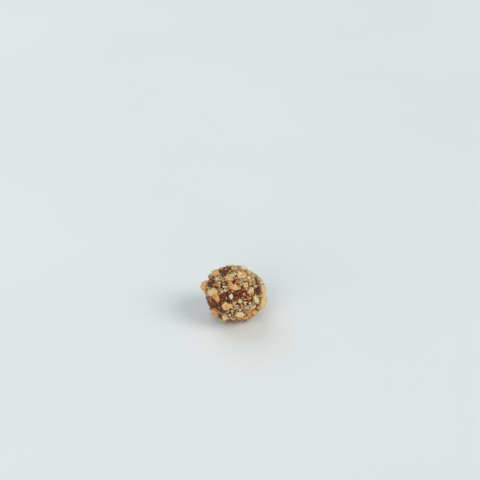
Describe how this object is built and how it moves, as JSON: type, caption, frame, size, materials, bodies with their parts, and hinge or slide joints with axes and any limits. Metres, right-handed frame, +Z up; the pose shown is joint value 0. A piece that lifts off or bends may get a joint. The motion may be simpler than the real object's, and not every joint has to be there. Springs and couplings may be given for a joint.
{
  "type": "energy ball",
  "caption": "Hand-rolled ball of dark date and cocoa paste coated in chopped roasted nuts, slightly squat, resting on a small flat spot.",
  "frame": {"origin": "middle of the flat spot that the ball rests on, straight under the middle of the paste", "axes": "+Z up, -Y towards the front that the picture shows, +X to the right of that front"},
  "size_m": [0.0407, 0.0369, 0.0318],
  "materials": {
    "nut_coated_paste": "moist dark paste with dry chopped nuts"
  },
  "bodies": {
    "root": {"energy_ball": "nut_coated_paste"}
  },
  "joints": []
}
